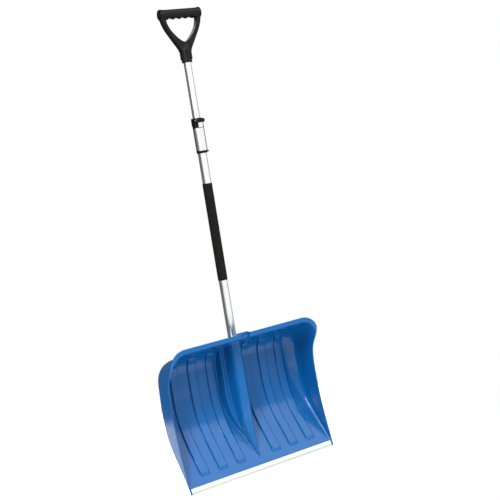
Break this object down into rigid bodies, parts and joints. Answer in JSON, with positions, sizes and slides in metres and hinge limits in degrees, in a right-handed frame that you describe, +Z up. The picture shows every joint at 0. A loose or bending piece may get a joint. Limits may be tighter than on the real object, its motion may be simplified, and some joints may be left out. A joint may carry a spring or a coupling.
{
  "type": "telescopic snow shovel",
  "caption": "Snow shovel with a deep moulded scoop, metal wear edge, telescopic tube shaft with a lever clamp, foam hand sleeve and D-grip.",
  "frame": {"origin": "on the axis of the shaft, halfway up the bare part of the lower tube, where a tool rack's clip holds it, 490 mm above the cutting edge", "axes": "+Z up along the shaft to the D-grip, +X across the scoop to the user's right, +Y behind the scoop; the open side of the scoop faces -Y"},
  "size_m": [0.498, 0.1605, 1.3775],
  "materials": {
    "scoop_plastic": "satin moulded polypropylene",
    "strip_aluminium": "brushed along the edge",
    "rivet_aluminium": "satin",
    "tube_aluminium": "bright drawn, lightly brushed",
    "screw_steel": "zinc plated",
    "pin_steel": "bright",
    "plate_aluminium": "bright",
    "foam": "closed-cell foam, matt",
    "black_plastic": "satin moulded",
    "grip_plastic": "lightly textured moulded",
    "bush_plastic": "turned nylon"
  },
  "bodies": {
    "shovel": {"scoop_shell": "scoop_plastic", "wear_strip": "strip_aluminium", "strip_rivets": "rivet_aluminium", "lower_tube": "tube_aluminium", "socket_screws": "screw_steel", "foam_grip": "foam", "collar_bush": "bush_plastic", "clamp_body": "black_plastic", "body_rivet": "rivet_aluminium", "lever_pin": "pin_steel"},
    "handle": {"upper_tube": "tube_aluminium", "guide_bush": "bush_plastic", "bush_rivet": "rivet_aluminium", "handle_grip": "grip_plastic", "grip_screw": "screw_steel"},
    "lever": {"clamp_lever": "black_plastic", "lever_plate": "plate_aluminium"},
    "pad": {"pressure_pad": "bush_plastic"}
  },
  "joints": [
    {"name": "telescope", "type": "slide", "parent": "shovel", "child": "handle", "axis": [0, 0, 1], "range_m": [-0.155, 0.15]},
    {"name": "lever_swing", "type": "hinge", "parent": "shovel", "child": "lever", "pos_m": [0, -0.0195, 0.562], "axis": [-1, 0, 0], "range_deg": [0, 100]},
    {"name": "pad_release", "type": "slide", "parent": "shovel", "child": "pad", "axis": [0, -1, 0], "range_m": [0, 0.0008]}
  ],
  "couplings": [
    {"joint": "pad_release", "follows": "lever_swing", "m_per_rad": 0.00045837}
  ]
}
